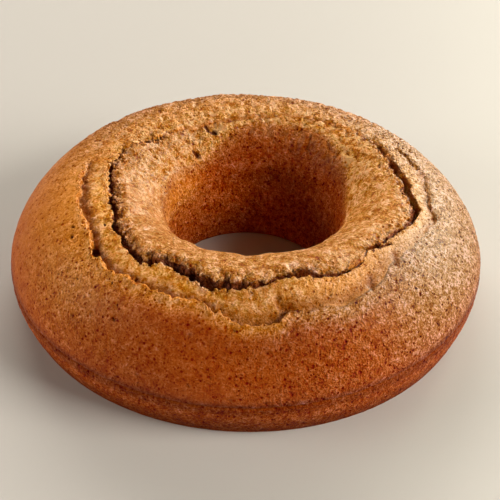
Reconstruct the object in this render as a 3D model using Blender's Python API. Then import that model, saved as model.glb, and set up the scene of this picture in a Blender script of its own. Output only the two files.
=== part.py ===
"""An uncut ring cake: a domed ring of crumb on a level foot, with the seam of its tin round the
side and a crown that split and tore round the hole while the cake rose.

Units are metres. Z is up and the foot stands on z = 0 with the ring centred on the Z axis.
Azimuths run counter-clockwise from +X, so 270 degrees is the front and 0 the right-hand side.
"""

import math

import bpy
import numpy as np

NAME = "cake"
MM = 0.001

# The plain ring
CAKE_RADIUS = 0.125
CAKE_HEIGHT = 0.066
FOOT_RADIUS = 0.1195
FOOT_ROUNDING = 0.002
CROWN_RADIUS = 0.077
HOLE_RADIUS = 0.0425
HOLE_TOP_RADIUS = 0.0457
HOLE_TOP_HEIGHT = 0.0385
HOLE_SHIFT = 0.004
HOLE_FOOT_SHIFT_SHARE = 0.3

# Exponents of the arches that rise from the seam and from the hole; 2 is an ellipse
OUTER_FULLNESS = 1.71
INNER_FULLNESS = 1.85

# Seam left by the rim of the tin: azimuth, then height in millimetres
SEAM = ((30, 23.5), (100, 22.5), (200, 22.0), (275, 21.5), (310, 23.0), (345, 25.0))
SEAM_DEPTH = 0.0007
SEAM_LIP = 0.0012

# Crack round the crown: azimuth, then radius of its middle, opening and depth in millimetres
CRACK = (
    (8, 78.7, 6.0, 8.0),
    (20, 77.4, 5.4, 6.5),
    (31, 77.0, 3.2, 4.5),
    (40, 75.5, 0.0, 0.0),
    (128, 64.0, 0.0, 0.0),
    (142, 65.5, 2.6, 3.0),
    (156, 70.0, 2.6, 4.0),
    (174, 72.0, 4.2, 6.5),
    (193, 70.5, 6.0, 8.0),
    (206, 73.8, 5.6, 8.0),
    (218, 77.8, 6.0, 9.0),
    (232, 84.0, 6.2, 10.0),
    (245, 82.0, 4.8, 9.0),
    (258, 87.0, 6.0, 10.0),
    (268, 88.0, 4.2, 9.0),
    (276, 86.5, 2.0, 6.0),
    (283, 83.2, 3.0, 6.0),
    (291, 84.8, 3.8, 7.0),
    (300, 88.2, 2.0, 5.0),
    (308, 87.0, 0.0, 0.0),
    (314, 83.8, 0.8, 1.0),
    (323, 84.2, 1.8, 3.5),
    (333, 87.0, 1.8, 4.0),
    (345, 88.0, 4.4, 6.5),
    (356, 83.0, 5.6, 8.0),
)
CRACK_ROW_SPREAD = 0.0020
CRACK_RAGGEDNESS = 0.0007
INNER_LIP_RISE = 0.0012

# Section of the crack: place across it, 1 at the outer lip and -1 at the inner, then share of depth
CRACK_SECTION = ((0.6, 0.95), (-0.1, 1.0), (-0.6, 0.4))

# Edge of the torn crust outside the crack: azimuth, then radius and drop in millimetres
TEAR = (
    (10, 95.5, 1.8),
    (20, 91.5, 1.4),
    (35, 88.0, 0.0),
    (100, 84.0, 0.0),
    (165, 85.0, 0.0),
    (180, 87.0, 2.4),
    (198, 88.8, 3.2),
    (213, 91.0, 3.4),
    (222, 97.0, 3.6),
    (235, 96.5, 3.2),
    (248, 98.0, 3.0),
    (256, 97.5, 2.8),
    (263, 102.0, 3.2),
    (272, 105.5, 3.4),
    (279, 104.5, 2.8),
    (285, 100.5, 1.6),
    (297, 102.8, 0.9),
    (309, 99.5, 0.5),
    (322, 95.0, 0.3),
    (334, 96.5, 0.3),
    (345, 99.0, 1.6),
    (355, 95.5, 2.0),
)
TEAR_WIDTH = 0.0022
TEAR_RAGGEDNESS = 0.0008
TEAR_RIM_SHARE = 0.25
TERRACE_RECOVERY = 0.75

# Hills and hollows of the uneven rise
HILL_HEIGHT = 0.0007

# How finely each stretch of the section is divided
COLUMNS = 120
BAND_ROWS = 4
DOME_ROWS = 12
FIRST_DOME_ANGLE = 0.08
TERRACE_ROWS = 3
CROWN_ROWS = 12
WALL_ROWS = 4

CRUST_COLOUR = (0.42, 0.17, 0.05, 1.0)
CRUST_ROUGHNESS = 0.62


def around(table, azimuth):
    """Smooth closed curves through a table of azimuths in degrees and values in millimetres."""
    stops = np.array([row[0] for row in table], dtype=float)
    values = np.array([row[1:] for row in table]) * MM
    stops = np.concatenate([stops[-2:] - 360, stops, stops[:2] + 360])
    values = np.concatenate([values[-2:], values, values[:2]])
    slopes = np.gradient(values, stops, axis=0)

    start = np.searchsorted(stops, azimuth, side="right") - 1
    span = (stops[start + 1] - stops[start])[:, None]
    along = (azimuth - stops[start])[:, None] / span
    ease = along * along * (3 - 2 * along)
    leave = along * (1 - along) ** 2 * span * slopes[start]
    arrive = along * along * (along - 1) * span * slopes[start + 1]
    curve = values[start] * (1 - ease) + values[start + 1] * ease + leave + arrive
    return curve.T


def wobble(azimuth, waves, seed):
    """Uneven ripple between about -1 and 1, made of waves with the given counts round the ring."""
    phases = np.random.default_rng(seed).uniform(0, 2 * math.pi, len(waves))
    ripples = [math.sqrt(waves[0] / count) * np.sin(count * np.radians(azimuth) + phase)
               for count, phase in zip(waves, phases)]
    return sum(ripples) / math.sqrt(len(waves))


def arch(angle, seam_height):
    """Radius and height of the smooth top; the angle is 0 at the seam and pi at the hole wall."""
    outside = angle < math.pi / 2
    power = 2 / np.where(outside, OUTER_FULLNESS, INNER_FULLNESS)
    reach = np.where(outside, CAKE_RADIUS, HOLE_TOP_RADIUS) - CROWN_RADIUS
    spring = np.where(outside, seam_height, HOLE_TOP_HEIGHT)
    radius = CROWN_RADIUS + reach * np.abs(np.cos(angle)) ** power
    height = spring + (CAKE_HEIGHT - spring) * np.clip(np.sin(angle), 0, 1) ** power
    return radius, height


def arch_angle(radius):
    """Angle at which the smooth top has this radius."""
    outside = radius > CROWN_RADIUS
    power = np.where(outside, OUTER_FULLNESS, INNER_FULLNESS) / 2
    reach = np.where(outside, CAKE_RADIUS, HOLE_TOP_RADIUS) - CROWN_RADIUS
    angle = np.arccos(np.clip((radius - CROWN_RADIUS) / reach, 0, 1) ** power)
    return np.where(outside, angle, math.pi - angle)


def uneven_rise(azimuth, angle):
    """Slight hills and hollows of the risen top, fading out at the seam and the hole wall."""
    hills = 0.6 * wobble(azimuth, (2, 3, 5), seed=1) + 0.4 * wobble(azimuth, (7, 11), seed=2)
    return HILL_HEIGHT * hills * np.sin(angle) ** 2


def side_rows(seam_height):
    """Rows from the foot up the lower band to the seam groove."""
    rows = [(FOOT_RADIUS - FOOT_ROUNDING, 0.0), (FOOT_RADIUS, FOOT_ROUNDING)]
    lip_height = seam_height - SEAM_LIP
    for step in range(1, BAND_ROWS + 1):
        share = step / BAND_ROWS
        swell = math.sin(share * math.pi / 2)
        rows.append((FOOT_RADIUS + (CAKE_RADIUS - FOOT_RADIUS) * swell,
                     FOOT_ROUNDING + (lip_height - FOOT_ROUNDING) * share))
    rows.append((CAKE_RADIUS - SEAM_DEPTH, seam_height))
    return rows


def top_rows(azimuth, seam_height):
    """Rows from the seam over the dome, the torn crust, the crack and the crown to the hole."""
    middle, opening, depth = around(CRACK, azimuth)
    opening = np.clip(opening, 0, None)
    depth = np.clip(depth, 0, None)
    middle = middle + CRACK_RAGGEDNESS * wobble(azimuth, (17, 29, 41), seed=3)
    half = np.maximum(opening, CRACK_ROW_SPREAD) / 2

    tear, drop = around(TEAR, azimuth)
    drop = np.clip(drop, 0, None)
    tear = tear + TEAR_RAGGEDNESS * wobble(azimuth, (19, 31, 43), seed=4)

    def row(angle, lift):
        radius, height = arch(angle, seam_height)
        return radius, height + lift + uneven_rise(azimuth, angle)

    rows = []
    rim_angle = arch_angle(tear)
    for step in range(DOME_ROWS):
        share = step / DOME_ROWS
        rows.append(row(FIRST_DOME_ANGLE + (rim_angle - FIRST_DOME_ANGLE) * share, 0.0))
    rows.append(row(rim_angle, TEAR_RIM_SHARE * drop))

    ledge = tear - TEAR_WIDTH
    outer_lip = middle + half
    for step in range(TERRACE_ROWS + 1):
        share = step / TERRACE_ROWS
        radius = ledge + (outer_lip - ledge) * share
        recovery = TERRACE_RECOVERY * (1 - (1 - share) ** 2)
        rows.append(row(arch_angle(radius), -drop * (1 - recovery)))

    for place, share in CRACK_SECTION:
        rows.append(row(arch_angle(middle + place * half), -depth * share))
    rise = INNER_LIP_RISE * np.clip(opening / CRACK_ROW_SPREAD, 0, 1)
    lip_angle = arch_angle(middle - half)

    # The inner lip is rounded off, and the crown swells just inside it
    rows.append(row(lip_angle, 0.0))
    for step in range(1, CROWN_ROWS + 1):
        share = step / CROWN_ROWS
        angle = lip_angle + (math.pi - lip_angle) * share
        rows.append(row(angle, rise * (1 - share) ** 3))
    return rows


def wall_rows():
    """Rows down the wall of the hole to its foot."""
    rows = []
    for step in range(1, WALL_ROWS + 1):
        share = step / WALL_ROWS
        rows.append((HOLE_TOP_RADIUS + (HOLE_RADIUS - HOLE_TOP_RADIUS) * share,
                     HOLE_TOP_HEIGHT + (FOOT_ROUNDING - HOLE_TOP_HEIGHT) * share))
    rows.append((HOLE_RADIUS + FOOT_ROUNDING, 0.0))
    return rows


def hole_offset(radius, height):
    """Sideways shift of the hole, full at the top of its wall and fading out at the crown."""
    inward = np.clip((CROWN_RADIUS - radius) / (CROWN_RADIUS - HOLE_TOP_RADIUS), 0, 1)
    upward = np.clip(height / HOLE_TOP_HEIGHT, HOLE_FOOT_SHIFT_SHARE, 1)
    return HOLE_SHIFT * inward * upward


def ring_points():
    """Points of the skin, one list of columns for each row of the section."""
    azimuth = np.arange(COLUMNS) * 360 / COLUMNS
    seam_height = around(SEAM, azimuth)[0]
    points = []
    for radius, height in side_rows(seam_height) + top_rows(azimuth, seam_height) + wall_rows():
        radius = np.broadcast_to(radius, COLUMNS)
        height = np.broadcast_to(height, COLUMNS)
        x = radius * np.cos(np.radians(azimuth)) + hole_offset(radius, height)
        y = radius * np.sin(np.radians(azimuth))
        points.append(np.stack([x, y, height], axis=1))
    return np.array(points)


def ring_faces(rows):
    """Quads between neighbouring rows and columns, closed both ways round."""
    faces = []
    for row in range(rows):
        above = (row + 1) % rows
        for column in range(COLUMNS):
            beside = (column + 1) % COLUMNS
            faces.append((row * COLUMNS + column, row * COLUMNS + beside,
                          above * COLUMNS + beside, above * COLUMNS + column))
    return faces


def crust_material():
    """Browned crust, matt with a slight sheen."""
    material = bpy.data.materials.new("cake_crust")
    material.use_nodes = True
    shader = material.node_tree.nodes["Principled BSDF"]
    shader.inputs["Base Color"].default_value = CRUST_COLOUR
    shader.inputs["Roughness"].default_value = CRUST_ROUGHNESS
    shader.inputs["Metallic"].default_value = 0.0
    return material


def ring_cake():
    """The whole cake as one closed solid."""
    points = ring_points()
    mesh = bpy.data.meshes.new(NAME)
    mesh.from_pydata(points.reshape(-1, 3).tolist(), [], ring_faces(len(points)))
    mesh.polygons.foreach_set("use_smooth", [True] * len(mesh.polygons))
    mesh.materials.append(crust_material())
    mesh.update()
    return bpy.data.objects.new(NAME, mesh)


def main():
    for leftover in list(bpy.data.objects):
        bpy.data.objects.remove(leftover, do_unlink=True)
    collection = bpy.data.collections.new("ring_cake")
    bpy.context.scene.collection.children.link(collection)
    collection.objects.link(ring_cake())


main()
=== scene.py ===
"""Looks of the ring cake: fine relief of its crust, cracks and crumb, its finishes, light and camera."""

import math

import bmesh
import bpy
import numpy as np
from mathutils import Matrix, Vector


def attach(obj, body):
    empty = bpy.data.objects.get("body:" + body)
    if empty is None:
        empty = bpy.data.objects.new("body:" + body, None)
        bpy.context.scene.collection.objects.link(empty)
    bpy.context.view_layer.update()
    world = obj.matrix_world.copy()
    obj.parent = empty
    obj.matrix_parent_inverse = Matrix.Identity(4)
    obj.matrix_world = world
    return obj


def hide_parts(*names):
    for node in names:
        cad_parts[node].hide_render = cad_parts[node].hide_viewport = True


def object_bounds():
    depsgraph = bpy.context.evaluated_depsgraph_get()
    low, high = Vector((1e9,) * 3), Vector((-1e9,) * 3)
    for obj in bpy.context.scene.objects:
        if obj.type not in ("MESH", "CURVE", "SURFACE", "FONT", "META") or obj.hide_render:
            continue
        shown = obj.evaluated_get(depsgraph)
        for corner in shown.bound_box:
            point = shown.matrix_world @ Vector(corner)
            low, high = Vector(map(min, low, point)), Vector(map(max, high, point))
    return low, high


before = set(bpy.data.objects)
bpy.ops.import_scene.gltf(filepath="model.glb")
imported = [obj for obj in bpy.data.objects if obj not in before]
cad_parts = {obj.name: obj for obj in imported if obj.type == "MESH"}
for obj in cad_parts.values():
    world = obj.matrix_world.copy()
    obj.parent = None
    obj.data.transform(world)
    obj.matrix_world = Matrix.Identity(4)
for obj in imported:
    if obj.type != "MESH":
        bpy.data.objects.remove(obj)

cad_low, cad_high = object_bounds()
MM = 0.001

# The plain ring, as in the solid
CAKE_RADIUS = (cad_high.x - cad_low.x) / 2
CAKE_HEIGHT = 0.066
FOOT_RADIUS = 0.1195
FOOT_ROUNDING = 0.002
CROWN_RADIUS = 0.077
HOLE_RADIUS = 0.0425
HOLE_TOP_RADIUS = 0.0457
HOLE_TOP_HEIGHT = 0.0385
HOLE_SHIFT = 0.004
HOLE_FOOT_SHIFT_SHARE = 0.3
OUTER_FULLNESS = 1.71
INNER_FULLNESS = 1.85
HILL_HEIGHT = 0.0007

# Seam left by the rim of the tin: azimuth, then height in millimetres
SEAM = ((30, 23.5), (100, 22.5), (200, 22.0), (275, 21.5), (310, 23.0), (345, 25.0))
SEAM_DEPTH = 0.0007
SEAM_LIP = 0.0012

# Crack round the crown: azimuth, then radius of its middle, opening and depth in millimetres
CRACK = (
    (8, 78.7, 6.0, 8.0),
    (20, 77.4, 5.4, 6.5),
    (31, 77.0, 3.2, 4.5),
    (40, 75.5, 0.0, 0.0),
    (128, 64.0, 0.0, 0.0),
    (142, 65.5, 2.6, 3.0),
    (156, 70.0, 2.6, 4.0),
    (174, 72.0, 4.2, 6.5),
    (193, 70.5, 6.0, 8.0),
    (206, 73.8, 5.6, 8.0),
    (218, 77.8, 6.0, 9.0),
    (232, 84.0, 6.2, 10.0),
    (245, 82.0, 4.8, 9.0),
    (258, 87.0, 6.0, 10.0),
    (268, 88.0, 4.2, 9.0),
    (276, 86.5, 2.0, 6.0),
    (283, 83.2, 3.0, 6.0),
    (291, 84.8, 3.8, 7.0),
    (300, 88.2, 2.0, 5.0),
    (308, 87.0, 0.0, 0.0),
    (314, 83.8, 0.8, 1.0),
    (323, 84.2, 1.8, 3.5),
    (333, 87.0, 1.8, 4.0),
    (345, 88.0, 4.4, 6.5),
    (356, 83.0, 5.6, 8.0),
)
CRACK_ROW_SPREAD = 0.0020
CRACK_RAGGEDNESS = 0.0007
LIP_RAGGEDNESS = 0.0006
OUTER_LIP_RISE = 0.0004
INNER_LIP_RISE = 0.0012
LIP_ROUNDING = 0.0012

# Edge of the torn crust outside the crack: azimuth, then radius and drop in millimetres
TEAR = (
    (10, 95.5, 1.3),
    (20, 91.5, 1.0),
    (35, 88.0, 0.0),
    (100, 84.0, 0.0),
    (165, 85.0, 0.0),
    (180, 87.0, 2.4),
    (198, 88.8, 3.2),
    (213, 91.0, 3.4),
    (222, 97.0, 3.6),
    (235, 96.5, 3.2),
    (248, 98.0, 3.0),
    (256, 97.5, 2.8),
    (263, 102.0, 3.2),
    (272, 105.5, 3.4),
    (279, 104.5, 2.8),
    (285, 100.5, 1.6),
    (297, 102.8, 0.9),
    (309, 99.5, 0.5),
    (322, 95.0, 0.3),
    (334, 96.5, 0.3),
    (345, 99.0, 1.2),
    (355, 95.5, 1.4),
)
TEAR_WIDTH = 0.0022
TEAR_RAGGEDNESS = 0.0008
TEAR_FINE_RAGGEDNESS = 0.0009
FULL_TEAR_DROP = 0.0020
TEAR_RIM_SHARE = 0.25
TERRACE_RECOVERY = 0.75

# Where the crack's floor lies between its lips, from 1 at the outer lip to -1 at the inner one
CRACK_FLOOR_OUTER = 0.6
CRACK_FLOOR_INNER = -0.1

# Where the crown's crumb gives way to the browned crust of the hole: azimuth, then radius in millimetres
INNER_CRUST = (
    (8, 50.0),
    (17, 53.0),
    (32, 58.0),
    (42, 61.0),
    (52, 64.0),
    (66, 64.5),
    (80, 63.0),
    (92, 62.0),
    (104, 57.0),
    (111, 54.0),
    (125, 50.0),
    (147, 51.0),
    (170, 49.0),
    (224, 50.0),
    (270, 51.0),
    (315, 51.0),
    (345, 50.0),
)

# Small cracks, folds and pits of the top: width, depth and darkness from 0 to 1, which is painted shade, then
# the azimuth and radius of the points along each; lengths are in millimetres
NICKS = (
    (1.8, 2.6, 1.0, ((217.4, 92.0), (219.6, 93.8), (221.6, 95.6))),
    (1.1, 1.4, 0.8, ((204.8, 94.6), (205.2, 94.0))),
    (1.0, 1.0, 0.7, ((208.3, 97.0), (208.8, 97.4))),
    (0.8, 0.8, 0.7, ((215.2, 110.4), (215.4, 110.6))),
    (0.8, 0.8, 0.6, ((221.5, 107.2), (221.7, 107.4))),
    (0.8, 0.8, 0.7, ((231.8, 100.8), (232.0, 101.0))),
    (0.9, 0.8, 0.6, ((237.0, 112.0), (237.6, 112.4))),
    (0.9, 1.2, 0.8, ((211.0, 81.5), (211.8, 81.5))),
    (1.8, 1.8, 0.8, ((125.8, 51.2), (124.5, 49.8))),
    (1.8, 1.8, 0.8, ((113.0, 62.0), (111.6, 58.6), (109.2, 58.0))),
    (1.0, 2.2, 0.9, ((323.8, 87.0), (319.5, 85.7), (315.0, 82.9))),
    (0.8, 1.2, 0.8, ((301.5, 88.4), (306.0, 88.4), (309.8, 87.4))),
)

# Soft browned hollows of the top, darkened further with painted shade, as width, depth and browning with
# painted shade, then azimuth and radius as above
HOLLOWS = (
    (3.0, 0.9, 0.9, ((309.0, 95.4), (308.0, 97.2), (307.0, 99.0))),
    (2.6, 0.6, 0.8, ((321.8, 92.2), (320.2, 94.0), (319.2, 96.6))),
    (3.2, 1.2, 0.5, ((279.5, 93.5), (281.0, 98.7), (284.5, 100.6), (290.0, 100.9))),
)

# Colours of the crust and crumb, in linear light
# The pale crust colour is painted sheen, laid on the right and back where the lamps glance off
CRUST_PAINTED_SHEEN = (0.62, 0.310, 0.118, 1)
CRUST_GOLD = (0.58, 0.200, 0.024, 1)
CRUST_BROWN = (0.39, 0.068, 0.002, 1)
INSIDE_BROWN = (0.52, 0.092, 0.004, 1)
CRUMB_PALE = (0.72, 0.345, 0.100, 1)
CRUMB_BROWN = (0.56, 0.185, 0.020, 1)
# Dark brown of the crack, partly the crumb's own colour and partly painted shade
CRACK_BROWN_AND_SHADE = (0.17, 0.035, 0.006, 1)
# Toasted brown, partly real browning and partly painted shade in the groove under the tear and in the hollows
TOAST_AND_SHADE_BROWN = (0.46, 0.140, 0.012, 1)
SEAM_BROWN = (0.235, 0.042, 0.008, 1)

# What the colours are multiplied by where the painted light is -1, full painted shade, and where it is 1,
# full painted light
PAINTED_SHADE_TINT = (0.60, 0.50, 0.45, 1)
PAINTED_LIGHT_TINT = (1.40, 1.50, 1.55, 1)

# Power that takes linear light to the scale of the eye, where the grain shifts lightness evenly
EYE_SCALE = 2.2

# How much of the grain's shift each channel takes; blue takes more, as the gloss hides some of it
SHIFT_TINT = (0.92, 1.05, 1.6, 1)

# Pores of the crust: spacing, then smallest and largest radius
FINE_PORES = (0.0013, 0.0003, 0.0005)
MEDIUM_PORES = (0.0025, 0.0005, 0.0010)
LARGE_PORES = (0.0070, 0.0007, 0.0012)

# Noises of the crust's texture: size, octaves and strength
GRIT = (0.0010, 3, 1.6)
BUMPS = (0.0024, 2, 1.1)
SWELLS = (0.0060, 1, 1.4)
BUMP_HEIGHT = 0.0007

# The crust's thin gloss
COAT_WEIGHT = 0.25
COAT_ROUGHNESS = 0.42
CRUST_SPECULAR = 0.05

# Sides of the cake: azimuth of the middle in degrees, then the cosines of the angle away from it where
# the side begins and where it is full
SIDES = {
    "back": (90, -0.3, 0.6),
    "mid_back": (90, 0.75, 0.98),
    "front": (270, 0.6, 1.0),
    "mid_front": (270, 0.93, 1.0),
    "right": (0, -0.2, 0.6),
    "far_right": (0, 0.5, 0.95),
    "left": (180, 0.3, 0.9),
    "far_left": (180, 0.75, 1.0),
}

# Painted light and shade, grain and mattness of the side: painted shade on the foot, the band's lower part
# and the seam's groove
FOOT_PAINTED_SHADE = -0.5
BAND_FOOT_PAINTED_SHADE = -0.7
BAND_PAINTED_LIGHT_RISE = 1.2
SEAM_PAINTED_SHADE = -0.4
BAND_GRAIN = 1.1
SEAM_GRAIN = 0.8
FOOT_MATT = 0.9
SEAM_MATT = 0.5

# Fineness of the skin before and after it is thinned out
COLUMNS = 1440
ROW_DENSITY = 1.0
ROW_SPACING = 0.0008
SKIN_TRIANGLES = 190_000

# Lengths of the stretches of the top, which set how many rows they take
DOME_LENGTH = 0.075
TERRACE_LENGTH = 0.018
OUTER_WALL_LENGTH = 0.010
CRACK_FLOOR_LENGTH = 0.003
INNER_WALL_LENGTH = 0.016
CROWN_LENGTH = 0.058
DOME_START_ANGLE = 0.02

# Fine relief of the skin: how far ragged edges and open crumb are shoved about, then the sizes and
# heights of its lumps, granules, grains and swells, and its pits
EDGE_SHOVE = 0.0007
CRUMB_SHOVE = 0.0003
SHOVE_SIZES = (0.006, 0.0025)
BROAD_LUMP_SIZE = 0.010
BROAD_LUMP_HEIGHT = 0.0007
SMALL_LUMP_SIZE = 0.005
SMALL_LUMP_HEIGHT = 0.0003
REAR_LUMP_HEIGHT = 0.0005
GRANULE_SIZE = 0.0028
EDGE_GRANULE_HEIGHT = 0.0018
REAR_GRANULE_HEIGHT = 0.0014
CLOT_SIZE = 0.0050
CLOT_HEIGHT = 0.0016
GRAIN_SIZE = 0.0021
GRAIN_HEIGHT = 0.0004
SWELL_SIZE = 0.006
SWELL_HEIGHT = 0.00015
PIT_SPACING = 0.0065
PIT_RADII = (0.0007, 0.0014)
PIT_DEPTH = 0.0008

# Heights between which the fine relief fades in above the foot, and the rear's coarser relief near the top
FOOT_FADE = (0.001, 0.006)
REAR_FADE = (0.048, 0.060)

# How far the small cracks wander, and in lumps of what size
NICK_SHAKE_SIZE = 0.002
NICK_SHAKE = 0.0005

# Loose crumbs: how many, their largest radius and how far they stand out, as a share of it
CRUMB_COUNT = 2400
CRUMB_RADIUS = 0.0009
CRUMB_STAND = 0.1


def around(table, azimuth):
    """Smooth closed curves through a table of azimuths in degrees and values in millimetres."""
    stops = np.array([row[0] for row in table], dtype=float)
    values = np.array([row[1:] for row in table]) * MM
    stops = np.concatenate([stops[-2:] - 360, stops, stops[:2] + 360])
    values = np.concatenate([values[-2:], values, values[:2]])
    slopes = np.gradient(values, stops, axis=0)

    start = np.searchsorted(stops, azimuth, side="right") - 1
    span = (stops[start + 1] - stops[start])[:, None]
    along = (azimuth - stops[start])[:, None] / span
    ease = along * along * (3 - 2 * along)
    leave = along * (1 - along) ** 2 * span * slopes[start]
    arrive = along * along * (along - 1) * span * slopes[start + 1]
    curve = values[start] * (1 - ease) + values[start + 1] * ease + leave + arrive
    return curve.T


def wobble(azimuth, waves, seed):
    """Uneven ripple between about -1 and 1, made of waves with the given counts round the ring."""
    phases = np.random.default_rng(seed).uniform(0, 2 * math.pi, len(waves))
    ripples = [math.sqrt(waves[0] / count) * np.sin(count * np.radians(azimuth) + phase)
               for count, phase in zip(waves, phases)]
    return sum(ripples) / math.sqrt(len(waves))


def smooth_step(low, high, value):
    """Share from 0 at low to 1 at high, eased at both ends."""
    share = np.clip((value - low) / (high - low), 0, 1)
    return share * share * (3 - 2 * share)


def arch(angle, seam_height):
    """Radius and height of the smooth top; the angle is 0 at the seam and pi at the hole wall."""
    outside = angle < math.pi / 2
    power = 2 / np.where(outside, OUTER_FULLNESS, INNER_FULLNESS)
    reach = np.where(outside, CAKE_RADIUS, HOLE_TOP_RADIUS) - CROWN_RADIUS
    spring = np.where(outside, seam_height, HOLE_TOP_HEIGHT)
    radius = CROWN_RADIUS + reach * np.abs(np.cos(angle)) ** power
    height = spring + (CAKE_HEIGHT - spring) * np.clip(np.sin(angle), 0, 1) ** power
    return radius, height


def arch_angle(radius):
    """Angle at which the smooth top has this radius."""
    outside = radius > CROWN_RADIUS
    power = np.where(outside, OUTER_FULLNESS, INNER_FULLNESS) / 2
    reach = np.where(outside, CAKE_RADIUS, HOLE_TOP_RADIUS) - CROWN_RADIUS
    angle = np.arccos(np.clip((radius - CROWN_RADIUS) / reach, 0, 1) ** power)
    return np.where(outside, angle, math.pi - angle)


def uneven_rise(azimuth, angle):
    """Slight hills and hollows of the risen top, fading out at the seam and the hole wall."""
    hills = 0.6 * wobble(azimuth, (2, 3, 5), seed=1) + 0.4 * wobble(azimuth, (7, 11), seed=2)
    return HILL_HEIGHT * hills * np.sin(angle) ** 2


def hole_offset(radius, height):
    """Sideways shift of the hole, full at the top of its wall and fading out at the crown."""
    inward = np.clip((CROWN_RADIUS - radius) / (CROWN_RADIUS - HOLE_TOP_RADIUS), 0, 1)
    upward = np.clip(height / HOLE_TOP_HEIGHT, HOLE_FOOT_SHIFT_SHARE, 1)
    return HOLE_SHIFT * inward * upward


# What the skin notes at each point: how much of the crumb's, crack's (partly painted shade), browned, inside,
# seam's, toasted (partly painted shade) and pale (painted sheen) colour it takes, its painted light from -1,
# painted shade, to 1, and how grainy, ragged and matt it is
MARKS = ("crumb", "crack", "browning", "inside", "grain", "edge", "seam", "toast", "pale", "tone", "matt")


class Skin:
    """The skin of the cake as a grid of rows up the side, over the top and down the hole."""

    def __init__(self, columns):
        self.azimuth = np.arange(columns) * 360 / columns
        self.radius = []
        self.height = []
        self.marks = {name: [] for name in MARKS}

    def add(self, radius, height, **marks):
        """Adds one row; every value is one number or one for each column."""
        size = len(self.azimuth)
        self.radius.append(np.broadcast_to(radius, size))
        self.height.append(np.broadcast_to(height, size))
        for name, rows in self.marks.items():
            rows.append(np.broadcast_to(marks.get(name, 0.0), size))

    def points(self):
        """The rows' points, in the cake's own frame."""
        radius = np.array(self.radius)
        height = np.array(self.height)
        turn = np.radians(self.azimuth)
        x = radius * np.cos(turn) + hole_offset(radius, height)
        return np.stack([x, radius * np.sin(turn), height], axis=2)


def rows_for(length):
    """How many rows a stretch of this length takes."""
    return max(2, round(length / ROW_SPACING * ROW_DENSITY))


def add_side(skin, seam_height):
    """The rounded foot, the lower band and the seam groove with its thin lip."""
    rounding = rows_for(FOOT_ROUNDING * 2)
    # The rounded foot is darkened with painted shade, as of its shadow on the floor
    for step in range(rounding):
        turn = math.pi / 2 * step / rounding
        skin.add(FOOT_RADIUS - FOOT_ROUNDING * (1 - math.sin(turn)),
                 FOOT_ROUNDING * (1 - math.cos(turn)), browning=1.0, matt=FOOT_MATT, tone=FOOT_PAINTED_SHADE)
    lip_height = seam_height - SEAM_LIP
    count = rows_for(lip_height.mean())
    for step in range(count + 1):
        share = step / count
        radius = FOOT_RADIUS + (CAKE_RADIUS - FOOT_RADIUS) * math.sin(share * math.pi / 2)
        height = FOOT_ROUNDING + (lip_height - FOOT_ROUNDING) * share
        # The band takes painted shade at the foot and just under the seam's lip, and painted light between
        rise = BAND_PAINTED_LIGHT_RISE * smooth_step(0, 0.75, share) - smooth_step(0.72, 0.92, share)
        skin.add(radius, height, browning=1.0, grain=BAND_GRAIN, tone=BAND_FOOT_PAINTED_SHADE + rise,
                 matt=FOOT_MATT + (SEAM_MATT - FOOT_MATT) * share)
    # The seam's groove takes painted shade
    for share in (0.3, 0.6, 0.8, 1.0):
        skin.add(CAKE_RADIUS - SEAM_DEPTH * smooth_step(0.2, 1, share), lip_height + SEAM_LIP * share,
                 browning=0.9, grain=SEAM_GRAIN, matt=SEAM_MATT, tone=SEAM_PAINTED_SHADE, seam=0.5 * share)


def side_share(azimuth, side):
    """Share from 0 to 1 of how far each azimuth lies on the named side of the cake."""
    middle, begins, full = SIDES[side]
    return smooth_step(begins, full, np.cos(np.radians(azimuth - middle)))


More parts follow.
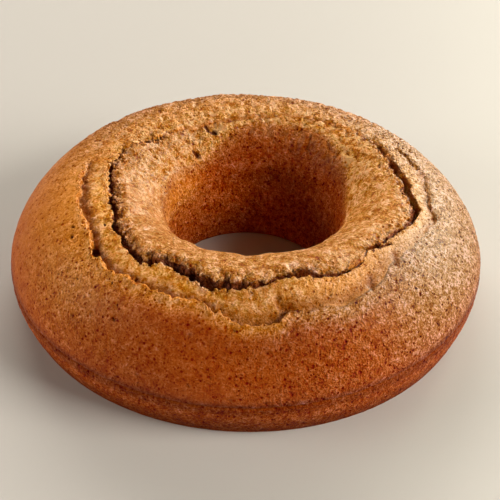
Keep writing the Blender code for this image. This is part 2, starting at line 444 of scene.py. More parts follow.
class Top:
    """The risen top: the dome, the torn crust, the crack and the crown."""

    def __init__(self, skin, seam_height):
        self.skin = skin
        self.seam_height = seam_height
        azimuth = skin.azimuth
        self.back = side_share(azimuth, "back")
        self.mid_back = side_share(azimuth, "mid_back")
        self.front = side_share(azimuth, "front")
        self.mid_front = side_share(azimuth, "mid_front")
        self.right = side_share(azimuth, "right")
        self.far_right = side_share(azimuth, "far_right")
        self.left = side_share(azimuth, "left")
        self.far_left = side_share(azimuth, "far_left")

        middle, opening, depth = around(CRACK, azimuth)
        opening = np.clip(opening, 0, None)
        self.middle = middle + CRACK_RAGGEDNESS * wobble(azimuth, (17, 29, 41), seed=3)
        self.half = np.maximum(opening, CRACK_ROW_SPREAD) / 2
        self.depth = np.clip(depth, 0, None)
        self.is_open = np.clip(opening / CRACK_ROW_SPREAD, 0, 1)
        fine = LIP_RAGGEDNESS * self.is_open * (1 - 0.6 * self.right)
        self.outer_lip = self.middle + self.half + fine * wobble(azimuth, (73, 131, 197), seed=5)
        self.inner_lip = self.middle - self.half + fine * wobble(azimuth, (67, 113, 181), seed=6)

        tear, drop = around(TEAR, azimuth)
        self.drop = np.clip(drop, 0, None)
        self.torn = smooth_step(0, FULL_TEAR_DROP, self.drop)
        tear = tear + TEAR_RAGGEDNESS * wobble(azimuth, (19, 31, 43), seed=4)
        self.tear = tear + TEAR_FINE_RAGGEDNESS * self.torn * wobble(azimuth, (37, 61, 97, 151), seed=7)

        # Painted highlight along the torn rim and the back's rim, and painted light on the sides towards the
        # lamps, lower on the dome
        plain_rim = (1 - 0.4 * self.far_left) * (1 - 0.6 * self.mid_front) * (1 - 0.7 * self.far_right)
        self.rim_highlight = 0.3 * self.back + plain_rim * self.torn
        lit_right = 0.6 * self.right * (1 - self.mid_front) * (1 - 0.7 * self.far_right)
        lit_left = 0.8 * (1 - self.right) * (1 - self.front) * (1 - self.far_left) * (1 - self.back)
        self.lit_side = lit_right + lit_left

    def add(self, angle, lift, **marks):
        """Adds a row at this angle of the arch, lifted by this much."""
        radius, height = arch(angle, self.seam_height)
        hills = uneven_rise(self.skin.azimuth, angle)
        self.skin.add(radius, height + lift + hills, **marks)

    def dome_marks(self, share, rim):
        """Marks of the outer crust, at this share of the way from the seam to its torn rim, with painted
        light, shade and sheen.
        """
        shoulder = smooth_step(0.72, 1, share)
        # The sides turning gold lower down than the front is partly painted light
        side_gold = share ** 0.8
        front_gold = 0.15 * share + 0.7 * smooth_step(0.8, 1, share)
        gold = side_gold + (front_gold - side_gold) * self.front
        # Painted sheen: pale crust on the far right and the back's upper dome, and on the right near the rim
        painted_sheen_right = self.far_right * (0.25 + 0.75 * smooth_step(0, 0.55, share))
        pale = np.maximum(painted_sheen_right, 0.3 * self.back * share)
        # Painted shade on the lower left of the dome
        shade_left = 0.3 * self.far_left * (1 - smooth_step(0.4, 0.75, share))
        # Painted shade on the front, in a band below the rim
        below_rim = smooth_step(0.5, 0.7, share) * (1 - smooth_step(0.8, 0.95, share))
        # Painted highlight near the rim, and painted light on the lit sides lower down
        lit = self.rim_highlight * shoulder + self.lit_side * (1 - shoulder)
        return {
            # Less browning on the far right's lower dome is painted light
            "browning": 0.95 - 0.8 * gold - 0.2 * self.far_right * (1 - share),
            "crumb": np.maximum(0.4 * rim * self.torn, 0.5 * self.back * shoulder),
            "edge": 0.6 * rim * self.torn,
            "pale": np.maximum(pale, 0.5 * self.right * shoulder),
            "grain": (0.82 - 0.18 * self.mid_front + 0.25 * self.right + 0.2 * self.far_right
                      - 0.43 * self.far_left + 0.3 * self.back * share),
            "seam": 0.3 * (1 - smooth_step(0.05, 0.16, share)) + 0.6 * (1 - smooth_step(0.03, 0.08, share)),
            "tone": lit - shade_left - 0.3 * self.mid_front * below_rim,
        }

    def add_dome(self):
        """The smooth outer crust, from the seam up to its torn rim."""
        rim_angle = arch_angle(self.tear)
        count = rows_for(DOME_LENGTH)
        for step in range(count):
            share = step / count
            rim = smooth_step(0.93, 1, share)
            self.add(DOME_START_ANGLE + (rim_angle - DOME_START_ANGLE) * share,
                     rim * TEAR_RIM_SHARE * self.drop, **self.dome_marks(share, rim))

    def add_tear_face(self, **marks):
        """The short face of the tear, from its rim down to the step."""
        toast = marks.pop("toast")
        count = rows_for(TEAR_WIDTH * 3)
        for step in range(count):
            share = step / count
            fall = smooth_step(0, 1, share)
            lift = self.drop * (TEAR_RIM_SHARE * (1 - fall) - fall)
            # Painted highlight fading down the face from the rim, painted light on the back, and toasted
            # colour that is partly painted shade
            self.add(arch_angle(self.tear - TEAR_WIDTH * share), lift,
                     crumb=np.maximum(0.7 * self.torn * fall, 0.5 * self.back), browning=0.2,
                     edge=self.torn * (0.6 - 0.4 * share), toast=toast * fall,
                     tone=self.rim_highlight * (1 - fall) + 0.5 * self.back * fall, **marks)

    def add_step(self, **marks):
        """The softer step below the tear, out to the crack's outer lip."""
        toast = marks.pop("toast")
        ledge = self.tear - TEAR_WIDTH
        # Painted light on the back and by the crack's lip, painted shade by the lip on the front and in the
        # groove under the tear
        back_painted_light = 0.5 * self.back
        lip_painted_light = 0.8 - 0.9 * self.mid_front
        count = rows_for(TERRACE_LENGTH)
        for step in range(count):
            share = step / count
            near_lip = smooth_step(0.8, 1, share) * self.is_open
            recovery = TERRACE_RECOVERY * (1 - (1 - share) ** 2)
            lift = OUTER_LIP_RISE * near_lip - self.drop * (1 - recovery)
            shade = 0.6 * self.torn * (1 - smooth_step(0.1, 0.4, share))
            self.add(arch_angle(ledge + (self.outer_lip - ledge) * share), lift,
                     crumb=np.maximum(self.torn * (0.7 + 0.2 * share), self.back * (0.5 + 0.3 * share)),
                     browning=0.3 - 0.2 * share, toast=toast * (1 - smooth_step(0, 0.5, share)),
                     edge=np.maximum(near_lip, 0.3 * self.torn * (1 - share)),
                     tone=back_painted_light + (lip_painted_light - back_painted_light) * smooth_step(0.1, 0.7, share) - shade, **marks)

    def add_terrace(self):
        """The torn crust: the face of the tear and the step below it."""
        marks = {
            # Toasted colour in the groove under the tear, partly painted shade
            "toast": 0.75 * self.torn * (1 - 0.7 * self.far_right),
            "grain": 0.50 + 0.4 * self.back + 0.2 * self.far_right,
            # Painted sheen on the torn crust of the right
            "pale": 0.25 * self.right + 0.55 * self.far_right,
        }
        self.add_tear_face(**marks)
        self.add_step(**marks)

    def add_crack(self):
        """The crack's steep outer wall, its floor and its rounded, clumpy inner wall."""
        floor_outer = self.middle + CRACK_FLOOR_OUTER * self.half
        floor_inner = self.middle + (CRACK_FLOOR_INNER + 0.5 * self.left) * self.half
        lip_lift = OUTER_LIP_RISE * self.is_open - self.drop * (1 - TERRACE_RECOVERY)
        marks = {
            "crumb": self.is_open,
            "browning": 0.2,
            "grain": 0.6,
            # Painted light on the crack's walls on the left and the far right
            "tone": 0.9 * np.maximum(self.left, self.far_right),
        }
        # The crack mark darkens the walls and floor, partly painted shade
        count = rows_for(OUTER_WALL_LENGTH)
        for step in range(count):
            share = step / count
            fall = smooth_step(0, 1, share)
            self.add(arch_angle(self.outer_lip + (floor_outer - self.outer_lip) * share),
                     lip_lift * (1 - fall) - self.depth * fall,
                     crack=self.is_open * (1 - 0.8 * self.far_right) * smooth_step(0.1, 0.5, share),
                     edge=self.is_open * (1 - 0.7 * self.right), **marks)
        count = rows_for(CRACK_FLOOR_LENGTH)
        for step in range(count):
            share = step / count
            self.add(arch_angle(floor_outer + (floor_inner - floor_outer) * share), -self.depth,
                     crack=self.is_open, edge=self.is_open, **marks)
        count = rows_for(INNER_WALL_LENGTH)
        for step in range(count):
            share = step / count
            climb = 1 - (1 - share) ** 1.3
            lighter = smooth_step(0.7 - 0.5 * self.left, 1 - 0.3 * self.left, share)
            self.add(arch_angle(floor_inner + (self.inner_lip - floor_inner) * share),
                     (INNER_LIP_RISE - LIP_ROUNDING) * self.is_open * climb - self.depth * (1 - climb),
                     crack=self.is_open * (1 - 0.6 * lighter),
                     edge=self.is_open * (1 - 0.3 * self.right), **marks)

    def crown_painted_light(self, browned, inward, past_crumb):
        """Painted light and shade of the crown: painted light on the back crumb and brink, the far right and
        the left's flare into the hole, painted shade on the left crumb and down the back's flare; past_crumb
        is the angle past the edge of its crumb.
        """
        crumb = 1 - browned
        brink = smooth_step(-0.6, 0, past_crumb) * (1 - smooth_step(0, 0.25, past_crumb))
        tone = self.back * (0.6 * crumb + 0.3 * brink) - 0.3 * self.left * crumb
        tone -= 0.4 * self.mid_back * smooth_step(0.3, 0.7, inward)
        tone += 0.3 * self.far_right * crumb
        return tone + 0.9 * self.left * smooth_step(0.05, 0.3, past_crumb)

    def add_crown(self):
        """The granular crown inside the crack, and the browned flare down into the hole."""
        lip_angle = arch_angle(self.inner_lip)
        crust_angle = arch_angle(around(INNER_CRUST, self.skin.azimuth)[0])
        count = rows_for(CROWN_LENGTH)
        for step in range(count + 1):
            share = step / count
            near_lip = self.is_open * (1 - smooth_step(0, 0.15, share))
            angle = lip_angle + (math.pi - lip_angle) * share
            past_crumb = angle - crust_angle
            browned = smooth_step(-0.1, 0.1, past_crumb)
            inward = smooth_step(0, 0.7, past_crumb / (math.pi - crust_angle))
            rounding = LIP_ROUNDING * (1 - smooth_step(0, 0.08, share))
            # Less browning and inside colour on the left is partly painted light; the crack mark at the lip
            # is painted shade
            self.add(angle, self.is_open * (INNER_LIP_RISE * (1 - share) ** 3 - rounding),
                     crumb=np.maximum(0.9 * (1 - browned), near_lip),
                     crack=0.4 * self.is_open * (1 - smooth_step(0, 0.04, share)),
                     browning=0.1 + (0.4 - 0.2 * self.left) * browned + (0.5 - 0.4 * self.left) * inward,
                     inside=(0.6 - 0.6 * self.left) * inward ** 2,
                     grain=0.7 - 0.2 * self.left + 0.3 * np.maximum(self.back, browned), edge=near_lip,
                     tone=self.crown_painted_light(browned, inward, past_crumb), matt=0.6 * inward)


def add_wall(skin):
    """The wall of the hole and its rounded foot."""
    left = side_share(skin.azimuth, "left")
    mid_back = side_share(skin.azimuth, "mid_back")
    count = rows_for(HOLE_TOP_HEIGHT)
    for step in range(1, count + 1):
        share = step / count
        # The left's upper wall is golden and lighter, partly painted light; the whole wall is a little
        # lighter and the back's middle lighter with painted light, and the back's top darker with painted
        # shade
        lit_golden = left * (1 - share)
        shade_top = 0.6 * mid_back * (1 - smooth_step(0, 0.2, share))
        lit_middle = 0.35 * mid_back * smooth_step(0.1, 0.3, share) * (1 - smooth_step(0.6, 0.9, share))
        skin.add(HOLE_TOP_RADIUS + (HOLE_RADIUS - HOLE_TOP_RADIUS) * share,
                 HOLE_TOP_HEIGHT + (FOOT_ROUNDING - HOLE_TOP_HEIGHT) * share,
                 browning=1.0 - 0.65 * lit_golden, inside=0.6 + 0.4 * share - 0.6 * lit_golden, grain=1.0,
                 matt=0.6, tone=0.2 + 0.6 * lit_golden - shade_top + lit_middle)
    rounding = rows_for(FOOT_ROUNDING * 2)
    for step in range(1, rounding + 1):
        turn = math.pi / 2 * step / rounding
        skin.add(HOLE_RADIUS + FOOT_ROUNDING * (1 - math.cos(turn)),
                 FOOT_ROUNDING * (1 - math.sin(turn)), browning=1.0, inside=1.0)


# Primes that scatter the cells of a noise over a table of random numbers
HASH_PRIMES = np.array((73856093, 19349663, 83492791))
HASH_TABLE_SIZE = 4099
HASH_SHIFT = 9


def hashed(cells, seed):
    """A fixed random number from 0 to 1 for each whole-number cell."""
    table = np.random.default_rng(seed).random(HASH_TABLE_SIZE)
    key = cells @ HASH_PRIMES
    return table[(key ^ (key >> HASH_SHIFT)) % table.size]


def lumps(points, size, seed):
    """Smooth noise between -1 and 1, with lumps of about this size."""
    place = points / size
    cell = np.floor(place).astype(np.int64)
    part = place - cell
    part = part * part * (3 - 2 * part)
    total = np.zeros(points.shape[:-1])
    for corner in np.ndindex(2, 2, 2):
        weight = np.prod(np.where(corner, part, 1 - part), axis=-1)
        total += weight * hashed(cell + corner, seed)
    return total * 2 - 1


def cells_nearby(points, size, seed):
    """Each cell next to the points, and how far from them the random spot in it lies."""
    cell = np.floor(points / size).astype(np.int64)
    for step in np.ndindex(3, 3, 3):
        near = cell + (np.array(step) - 1)
        spot = np.stack([hashed(near, seed + axis) for axis in range(3)], axis=-1)
        yield near, np.linalg.norm((near + spot) * size - points, axis=-1)


def pits(points, spacing, radii, seed):
    """Depth from 0 to 1 of round pits, one in each cell of this spacing, of random radius."""
    smallest, largest = radii
    depth = np.zeros(points.shape[:-1])
    for near, gap in cells_nearby(points, spacing, seed):
        radius = smallest + (largest - smallest) * hashed(near, seed + 3)
        depth = np.maximum(depth, 1 - (gap / radius) ** 2)
    return depth


def clumps(points, size, seed):
    """Height from 0 to 1 of rounded grains packed side by side, each about this size across."""
    nearest = np.full(points.shape[:-1], np.inf)
    for _, gap in cells_nearby(points, size, seed):
        nearest = np.minimum(nearest, gap)
    return np.clip(1 - (nearest / size) ** 2, 0, 1)


def line_gap(places, start, end):
    """Distance in plan from each place to the straight line between two points."""
    run = end - start
    along = np.clip((places - start) @ run / (run @ run), 0, 1)
    return np.linalg.norm(places - start - along[..., None] * run, axis=-1)


def nicks(points, table):
    """How deep the small cracks or hollows of a table cut at each point, and how strong they are there."""
    shake = np.stack([lumps(points, NICK_SHAKE_SIZE, seed) for seed in (71, 72)], axis=-1)
    places = points[..., :2] + NICK_SHAKE * shake
    on_top = points[..., 2] > HOLE_TOP_HEIGHT
    deepest = np.zeros(points.shape[:-1])
    strongest = np.zeros(points.shape[:-1])
    for width, depth, strength, stops in table:
        path = [radius * MM * np.array((math.cos(turn), math.sin(turn)))
                for turn, radius in ((math.radians(azimuth), radius) for azimuth, radius in stops)]
        gap = np.min([line_gap(places, *ends) for ends in zip(path, path[1:])], axis=0)
        share = (1 - smooth_step(0.15, 1, gap / (width * MM))) * on_top
        deepest = np.maximum(deepest, depth * MM * share)
        strongest = np.maximum(strongest, strength * share)
    return deepest, strongest


def grid_normals(points):
    """Outward normals of the grid of points, which is closed both ways round."""
    along = np.roll(points, -1, axis=1) - np.roll(points, 1, axis=1)
    up = np.roll(points, -1, axis=0) - np.roll(points, 1, axis=0)
    normals = np.cross(along, up)
    return normals / np.maximum(np.linalg.norm(normals, axis=2, keepdims=True), 1e-12)


def roughened(points, marks):
    """The skin's points with its crumbly edges, grains, pores, small cracks and fine unevenness."""
    edge, grain, crumb = marks["edge"], marks["grain"], marks["crumb"]
    above = smooth_step(*FOOT_FADE, points[..., 2])
    coarse, fine = SHOVE_SIZES
    shove = np.stack([lumps(points, coarse, seed=11 + axis) for axis in range(3)], axis=-1)
    shove += np.stack([lumps(points, fine, seed=21 + axis) for axis in range(3)], axis=-1)
    loose = points + (EDGE_SHOVE * edge + CRUMB_SHOVE * crumb)[..., None] * shove

    normals = grid_normals(loose)
    rear = side_share(np.degrees(np.arctan2(points[..., 1], points[..., 0])), "back")
    rear = rear * smooth_step(*REAR_FADE, points[..., 2])
    soft = BROAD_LUMP_HEIGHT * lumps(points, BROAD_LUMP_SIZE, seed=31)
    soft += (SMALL_LUMP_HEIGHT + REAR_LUMP_HEIGHT * rear) * lumps(points, SMALL_LUMP_SIZE, seed=33)
    soft *= smooth_step(0, 0.4, crumb)
    granule_height = EDGE_GRANULE_HEIGHT * edge + REAR_GRANULE_HEIGHT * rear
    granules = granule_height * (clumps(points, GRANULE_SIZE, seed=51) - 0.5)
    granules += CLOT_HEIGHT * rear * (clumps(points, CLOT_SIZE, seed=91) - 0.5)
    grains = GRAIN_HEIGHT * grain ** 2 * (clumps(points, GRAIN_SIZE, seed=61) - 0.5)
    swell = SWELL_HEIGHT * lumps(points, SWELL_SIZE, seed=32)
    holes = PIT_DEPTH * pits(points, PIT_SPACING, PIT_RADII, seed=41)
    # The small cracks' darkness is painted shade, laid on the crack mark
    cuts, crevice_shade = nicks(points, NICKS)
    # The hollows take toasted colour and painted shade
    hollows, toast = nicks(points, HOLLOWS)
    marks["crack"] = np.maximum(marks["crack"], crevice_shade)
    marks["toast"] = np.maximum(marks["toast"], toast)
    marks["tone"] = marks["tone"] - toast
    lift = (soft + granules + grains + swell - holes) * above - cuts - hollows
    return loose + normals * lift[..., None]


def grid_faces(rows, columns):
    """Quads between neighbouring rows and columns, closed both ways round."""
    row, column = np.meshgrid(np.arange(rows), np.arange(columns), indexing="ij")
    above = (row + 1) % rows
    beside = (column + 1) % columns
    corners = [row * columns + column, row * columns + beside,
               above * columns + beside, above * columns + column]
    return np.stack(corners, axis=-1).reshape(-1, 4)


def mesh_from_grid(name, points, marks):
    """A mesh of the grid with its marks kept as point attributes."""
    rows, columns = points.shape[:2]
    faces = grid_faces(rows, columns)
    mesh = bpy.data.meshes.new(name)
    mesh.vertices.add(rows * columns)
    mesh.vertices.foreach_set("co", points.ravel())
    mesh.loops.add(faces.size)
    mesh.loops.foreach_set("vertex_index", faces.ravel())
    mesh.polygons.add(len(faces))
    mesh.polygons.foreach_set("loop_start", np.arange(0, faces.size, 4))
    mesh.update(calc_edges=True)
    keep_marks(mesh, marks)
    return mesh


def keep_marks(mesh, marks):
    """Keeps the marks as attributes of the mesh's points."""
    for name, values in marks.items():
        attribute = mesh.attributes.new(name, "FLOAT", "POINT")
        attribute.data.foreach_set("value", values.ravel())


def shade_smooth(mesh):
    """Shades all faces of the mesh smoothly."""
    mesh.polygons.foreach_set("use_smooth", [True] * len(mesh.polygons))


def thin_out(piece, triangles):
    """Thins the piece's mesh to this many triangles, most where it is smooth."""
    modifier = piece.modifiers.new("thin", "DECIMATE")
    modifier.ratio = triangles / (2 * len(piece.data.polygons))
    evaluated = piece.evaluated_get(bpy.context.evaluated_depsgraph_get())
    mesh = bpy.data.meshes.new_from_object(evaluated)
    piece.modifiers.clear()
    piece.data = mesh
    shade_smooth(mesh)


def add_piece(name, mesh, material):
    """A piece of the cake that rides on its body and takes the crust's finish."""
    mesh.materials.append(material)
    piece = bpy.data.objects.new(name, mesh)
    bpy.context.scene.collection.objects.link(piece)
    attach(piece, "root")
    return piece


def add_cake(material):
    """The baked cake in full relief, with loose crumbs along its torn edges."""
    skin = Skin(COLUMNS)
    seam_height = around(SEAM, skin.azimuth)[0]
    add_side(skin, seam_height)
    top = Top(skin, seam_height)
    top.add_dome()
    top.add_terrace()
    top.add_crack()
    top.add_crown()
    add_wall(skin)

    marks = {name: np.array(rows) for name, rows in skin.marks.items()}
    points = roughened(skin.points(), marks)
    piece = add_piece("cake_skin", mesh_from_grid("cake_skin", points, marks), material)
    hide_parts("cake")
    thin_out(piece, SKIN_TRIANGLES)
    add_crumbs(points, marks, material)


def crumb_shape():
    """Points and faces of one round grain, a ball of 80 triangles."""
    shape = bmesh.new()
    bmesh.ops.create_icosphere(shape, subdivisions=2, radius=1)
    points = np.array([vertex.co[:] for vertex in shape.verts])
    faces = np.array([[vertex.index for vertex in face.verts] for face in shape.faces])
    shape.free()
    return points, faces


def add_crumbs(points, marks, material):
    """Uneven grains half sunk along the crack's lips and the torn crust, joined into one piece."""
    chooser = np.random.default_rng(81)
    likely = (marks["edge"] ** 4).ravel()
    picks = chooser.choice(likely.size, CRUMB_COUNT, replace=False, p=likely / likely.sum())
    places = points.reshape(-1, 3)[picks]
    normals = grid_normals(points).reshape(-1, 3)[picks]

    ball, faces = crumb_shape()
    size = chooser.uniform(0.55, 1.0, CRUMB_COUNT) ** 2 * CRUMB_RADIUS
    stretch = chooser.uniform(0.7, 1.3, (CRUMB_COUNT, 1, 3))
    dents = chooser.uniform(0.6, 1.25, (CRUMB_COUNT, len(ball), 1))
    grains = places[:, None] + size[:, None, None] * (ball * stretch * dents + CRUMB_STAND * normals[:, None])

    mesh = bpy.data.meshes.new("crumbs")
    shifted = faces + len(ball) * np.arange(CRUMB_COUNT)[:, None, None]
    mesh.from_pydata(grains.reshape(-1, 3), [], shifted.reshape(-1, 3).tolist())
    shade_smooth(mesh)
    keep_marks(mesh, {name: np.repeat(values.ravel()[picks], len(ball)) for name, values in marks.items()})
    add_piece("crumbs", mesh, material)


def add_node(tree, kind, inputs=None, **settings):
    """A new shader node with its settings and its input values or links."""
    node = tree.nodes.new(kind)
    for name, value in settings.items():
        setattr(node, name, value)
    for name, value in (inputs or {}).items():
        if isinstance(value, bpy.types.NodeSocket):
            tree.links.new(value, node.inputs[name])
        else:
            node.inputs[name].default_value = value
    return node


def mix_colour(tree, factor, first, second, blend="MIX", clamp=False):
    """Colour that goes from the first to the blend of both with the factor."""
    node = add_node(tree, "ShaderNodeMix", data_type="RGBA", blend_type=blend, clamp_result=clamp)
    for name, value in (("Factor_Float", factor), ("A_Color", first), ("B_Color", second)):
        socket = next(s for s in node.inputs if s.identifier == name)
        if isinstance(value, bpy.types.NodeSocket):
            tree.links.new(value, socket)
        else:
            socket.default_value = value
    return next(s for s in node.outputs if s.identifier == "Result_Color")


def maths(tree, operation, first, second, third=0.0):
    """Result of one sum on numbers or sockets."""
    return add_node(tree, "ShaderNodeMath", {0: first, 1: second, 2: third}, operation=operation).outputs[0]


def ranged(tree, value, low, high, to_low=0.0, to_high=1.0):
    """The value taken smoothly from the range low to high into another range."""
    node = add_node(tree, "ShaderNodeMapRange", {
        "Value": value, "From Min": low, "From Max": high, "To Min": to_low, "To Max": to_high,
    }, interpolation_type="SMOOTHSTEP")
    return node.outputs["Result"]


class Pattern:
    """Marks, noises and pores for the nodes of one material, with their sizes in metres."""

    def __init__(self, tree):
        self.tree = tree
        self.place = add_node(tree, "ShaderNodeTexCoord").outputs["Object"]

    def mark(self, name):
        """One of the marks that the skin keeps at its points."""
        return add_node(self.tree, "ShaderNodeAttribute", attribute_name=name).outputs["Fac"]

    def noise(self, size, detail=2.0):
        """Noise from 0 to 1 with features of about this size."""
        return add_node(self.tree, "ShaderNodeTexNoise", {
            "Vector": self.place, "Scale": 1 / size, "Detail": detail, "Roughness": 0.6,
        }).outputs["Fac"]

    def texture(self, size, detail, strength):
        """Noise from 0 to this strength."""
        return maths(self.tree, "MULTIPLY", self.noise(size, detail), strength)

    def pores(self, spacing, smallest, largest):
        """Round pores that are 1 in the middle, one in each cell, with random radii."""
        tree = self.tree
        cells = add_node(tree, "ShaderNodeTexVoronoi", {"Vector": self.place, "Scale": 1 / spacing})
        chance = add_node(tree, "ShaderNodeSeparateColor", {"Color": cells.outputs["Color"]})
        reach = ranged(tree, chance.outputs["Red"], 0, 1, smallest / spacing, largest / spacing)
        gap = maths(tree, "DIVIDE", cells.outputs["Distance"], reach)
        return ranged(tree, gap, 0.35, 1.0, 1.0, 0.0)


def marked_colour(tree, pattern, crumb):
    """Colour that the marks give, from the crust through the open crumb to the cracks and the seam, with
    painted sheen, painted shade in the cracks and the tear's groove, and painted light and shade laid over
    all.
    """
    mark = pattern.mark
    brown = maths(tree, "ADD", mark("browning"), pattern.texture(0.008, 4, 0.4))
    colour = mix_colour(tree, ranged(tree, brown, 0.2, 1.2), CRUST_GOLD, CRUST_BROWN)
    colour = mix_colour(tree, mark("inside"), colour, INSIDE_BROWN)
    speckle = ranged(tree, pattern.noise(0.0022, 3), 0.38, 0.62)
    colour = mix_colour(tree, crumb, colour, mix_colour(tree, speckle, CRUMB_PALE, CRUMB_BROWN))
    # The pale mark lays on painted sheen
    colour = mix_colour(tree, mark("pale"), colour, CRUST_PAINTED_SHEEN)
    colour = mix_colour(tree, mark("toast"), colour, TOAST_AND_SHADE_BROWN)
    # The crack mark lays on dark brown that is partly painted shade
    crack = maths(tree, "ADD", mark("crack"), pattern.texture(0.0028, 2, 0.7))
    colour = mix_colour(tree, ranged(tree, crack, 0.55, 0.95), colour, CRACK_BROWN_AND_SHADE)
    colour = mix_colour(tree, mark("seam"), colour, SEAM_BROWN)
    # Painted light and shade: the colour is multiplied by the painted shade tint or the painted light tint
    tone = maths(tree, "MULTIPLY_ADD", mark("tone"), 0.5, 0.5)
    return mix_colour(tree, 1.0, colour, mix_colour(tree, tone, PAINTED_SHADE_TINT, PAINTED_LIGHT_TINT), "MULTIPLY")


def all_pores(tree, pattern):
    """Pores of three sizes, the small ones shallower."""
    fine = maths(tree, "MULTIPLY", pattern.pores(*FINE_PORES), 0.6)
    medium = maths(tree, "MULTIPLY", pattern.pores(*MEDIUM_PORES), 0.9)
    return maths(tree, "MAXIMUM", fine, maths(tree, "MAXIMUM", medium, pattern.pores(*LARGE_PORES)))


def grained(tree, colour, shift):
    """The colour with its lightness shifted by this share on the scale of the eye, short of washing out."""
    eye = add_node(tree, "ShaderNodeGamma", {"Color": colour, "Gamma": 1 / EYE_SCALE}).outputs["Color"]
    lightness = add_node(tree, "ShaderNodeRGBToBW", {"Color": eye}).outputs["Val"]
    red = add_node(tree, "ShaderNodeSeparateColor", {"Color": eye}).outputs["Red"]
    headroom = maths(tree, "SUBTRACT", 1.03, red)
    shift = maths(tree, "MINIMUM", maths(tree, "MULTIPLY", shift, lightness), headroom)
    shift = mix_colour(tree, 1.0, shift, SHIFT_TINT, "MULTIPLY")
    shifted = mix_colour(tree, 1.0, eye, shift, "ADD", clamp=True)
    return add_node(tree, "ShaderNodeGamma", {"Color": shifted, "Gamma": EYE_SCALE}).outputs["Color"]


def crust_material():
    """Browned crust that turns to paler open crumb where the top tore, with pores all over."""
    material = bpy.data.materials.new("cake_crust")
    material.use_nodes = True
    tree = material.node_tree
    shader = tree.nodes["Principled BSDF"]
    pattern = Pattern(tree)
    grain = pattern.mark("grain")
    crumb = maths(tree, "ADD", pattern.mark("crumb"), pattern.texture(0.004, 2, 0.8))
    crumb = ranged(tree, crumb, 0.42, 1.25)
    holes = all_pores(tree, pattern)

    # The grain's lightness follows the bump's relief, raised grains lighter and hollows darker, partly
    # painted light and shade
    relief = maths(tree, "ADD", pattern.texture(*GRIT), pattern.texture(*BUMPS))
    mean_relief = (GRIT[2] + BUMPS[2]) / 2
    shift = maths(tree, "MULTIPLY", maths(tree, "SUBTRACT", relief, mean_relief), grain)
    swells = maths(tree, "SUBTRACT", pattern.texture(*SWELLS), SWELLS[2] / 2)
    coarse = maths(tree, "MULTIPLY_ADD", grain, 0.5, maths(tree, "MULTIPLY", pattern.mark("crumb"), 0.4))
    shift = maths(tree, "MULTIPLY_ADD", swells, coarse, shift)
    # Pores are darkened with painted shade, less in the crumb
    crevice_shade = maths(tree, "MULTIPLY_ADD", grain, 0.4, 0.25)
    crevice_shade = maths(tree, "MULTIPLY", ranged(tree, crumb, 0, 1, 1.0, 0.6), crevice_shade)
    shift = maths(tree, "SUBTRACT", shift, maths(tree, "MULTIPLY", holes, crevice_shade))
    colour = grained(tree, marked_colour(tree, pattern, crumb), shift)
    tree.links.new(colour, shader.inputs["Base Color"])

    relief = maths(tree, "MULTIPLY", relief, ranged(tree, grain, 0.2, 1.2, 0.6, 2.8))
    relief = maths(tree, "SUBTRACT", relief, maths(tree, "MULTIPLY", holes, 0.7))
    bump = add_node(tree, "ShaderNodeBump", {"Height": relief, "Distance": BUMP_HEIGHT, "Strength": 1.0})
    tree.links.new(bump.outputs["Normal"], shader.inputs["Normal"])

    sheltered = maths(tree, "MAXIMUM", pattern.mark("matt"), holes)
    tree.links.new(ranged(tree, sheltered, 0, 1, COAT_WEIGHT, 0.0), shader.inputs["Coat Weight"])
    tree.links.new(ranged(tree, pattern.noise(0.006), 0.2, 0.8, 0.48, 0.62), shader.inputs["Roughness"])
    shader.inputs["Specular IOR Level"].default_value = CRUST_SPECULAR
    shader.inputs["Coat Roughness"].default_value = COAT_ROUGHNESS
    return material


# The floor: half its width, its noise and the two tones that it varies between
FLOOR_HALF = 4.0
FLOOR_NOISE_SCALE = 3.0
FLOOR_ROUGHNESS = 0.6
FLOOR_DARK = (0.54, 0.51, 0.465, 1)
FLOOR_LIGHT = (0.57, 0.54, 0.495, 1)


def floor_material():
    """Plain pale studio floor."""
    material = bpy.data.materials.new("floor")
    material.use_nodes = True
    tree = material.node_tree
    shader = tree.nodes["Principled BSDF"]
    noise = add_node(tree, "ShaderNodeTexNoise", {"Scale": FLOOR_NOISE_SCALE})
    colour = mix_colour(tree, noise.outputs["Fac"], FLOOR_DARK, FLOOR_LIGHT)
    tree.links.new(colour, shader.inputs["Base Color"])
    shader.inputs["Roughness"].default_value = FLOOR_ROUGHNESS
    return material


def add_floor():
    """A plain floor under the cake, not attached to any of its bodies."""
    corners = [(-FLOOR_HALF, -FLOOR_HALF, 0), (FLOOR_HALF, -FLOOR_HALF, 0),
               (FLOOR_HALF, FLOOR_HALF, 0), (-FLOOR_HALF, FLOOR_HALF, 0)]
    mesh = bpy.data.meshes.new("floor")
    mesh.from_pydata(corners, [], [(0, 1, 2, 3)])
    mesh.materials.append(floor_material())
    floor = bpy.data.objects.new("floor", mesh)
    bpy.context.scene.collection.objects.link(floor)


# Azimuth and elevation in degrees, width and height in metres and power in watts of the soft lights
MATT_LIGHTS = {
    "right": (-18, 27, 1.6, 1.2, 104),
    "back": (98, 28, 2.0, 1.2, 80),
    "left": (187, 12, 1.6, 1.1, 60),
}
GLOSS_LIGHTS = {
    "gloss_right": (44, 26, 2.0, 1.1, 200),
    "gloss_top": (0, 50, 1.3, 1.0, 25),
    "gloss_left": (180, 30, 1.3, 1.0, 22),
}
LIGHT_DISTANCE = 2.7
WARM_LIGHT = (1.0, 0.96, 0.90)
GLOSS_LIGHT = (1.0, 0.97, 0.75)
SURROUND_COLOUR = (1.0, 0.75, 0.5, 1)
SURROUND_STRENGTH = 0.04


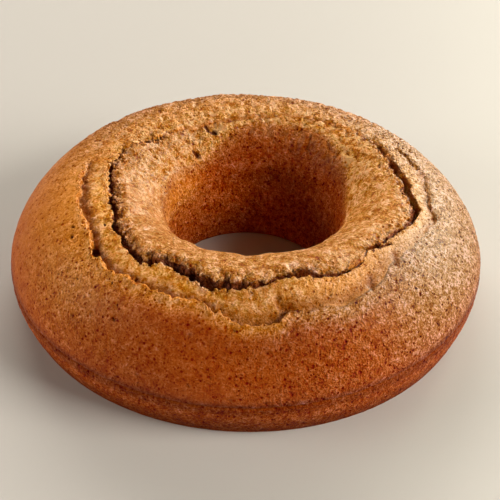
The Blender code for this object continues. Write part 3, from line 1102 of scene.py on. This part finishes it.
def add_light(name, colour, azimuth, elevation, width, height, power):
    """A soft light that faces the cake from this direction."""
    light = bpy.data.lights.new(name, "AREA")
    light.shape = "RECTANGLE"
    light.size = width
    light.size_y = height
    light.energy = power
    light.color = colour
    turn = math.radians(azimuth)
    rise = math.radians(elevation)
    away = Vector((math.cos(rise) * math.cos(turn), math.cos(rise) * math.sin(turn), math.sin(rise)))
    lamp = bpy.data.objects.new(name, light)
    lamp.location = Vector((0, 0, CAKE_HEIGHT / 2)) + LIGHT_DISTANCE * away
    lamp.rotation_mode = "QUATERNION"
    lamp.rotation_quaternion = (-away).to_track_quat("-Z", "Y")
    bpy.context.scene.collection.objects.link(lamp)
    return lamp


def add_lights():
    """Wide soft studio lights on three sides, others that only show in the gloss, and a dim surround."""
    for name, settings in MATT_LIGHTS.items():
        add_light(name, WARM_LIGHT, *settings).visible_glossy = False
    for name, settings in GLOSS_LIGHTS.items():
        add_light(name, GLOSS_LIGHT, *settings).visible_diffuse = False
    world = bpy.data.worlds.new("studio")
    world.use_nodes = True
    background = world.node_tree.nodes["Background"]
    background.inputs["Color"].default_value = SURROUND_COLOUR
    background.inputs["Strength"].default_value = SURROUND_STRENGTH
    bpy.context.scene.world = world
    bpy.context.scene.view_settings.view_transform = "Standard"


# The photograph's camera, from fitting the cake's outline; the focal length is in pixels, and the
# sensor's width in millimetres
CAMERA_ELEVATION = math.radians(36.46)
CAMERA_ROLL = math.radians(1.45)
CAMERA_DISTANCE = 0.65
CAMERA_AIM = Vector((0.0023, -0.0138, 0.03))
FOCAL_PIXELS = 1232.1
IMAGE_PIXELS = 500
SENSOR_WIDTH = 36


def add_camera():
    """The camera at the photograph's angle."""
    forward = Vector((0, math.cos(CAMERA_ELEVATION), -math.sin(CAMERA_ELEVATION)))
    level_right = Vector((1, 0, 0))
    level_up = level_right.cross(forward)
    right = level_right * math.cos(CAMERA_ROLL) + level_up * math.sin(CAMERA_ROLL)
    up = level_up * math.cos(CAMERA_ROLL) - level_right * math.sin(CAMERA_ROLL)
    camera = bpy.data.cameras.new("camera")
    camera.sensor_width = SENSOR_WIDTH
    camera.lens = camera.sensor_width * FOCAL_PIXELS / IMAGE_PIXELS
    holder = bpy.data.objects.new("camera", camera)
    turn = Matrix((right, up, -forward)).transposed().to_4x4()
    holder.matrix_world = Matrix.Translation(CAMERA_AIM - forward * CAMERA_DISTANCE) @ turn
    bpy.context.scene.collection.objects.link(holder)
    bpy.context.scene.camera = holder


add_cake(crust_material())
add_floor()
add_lights()
add_camera()
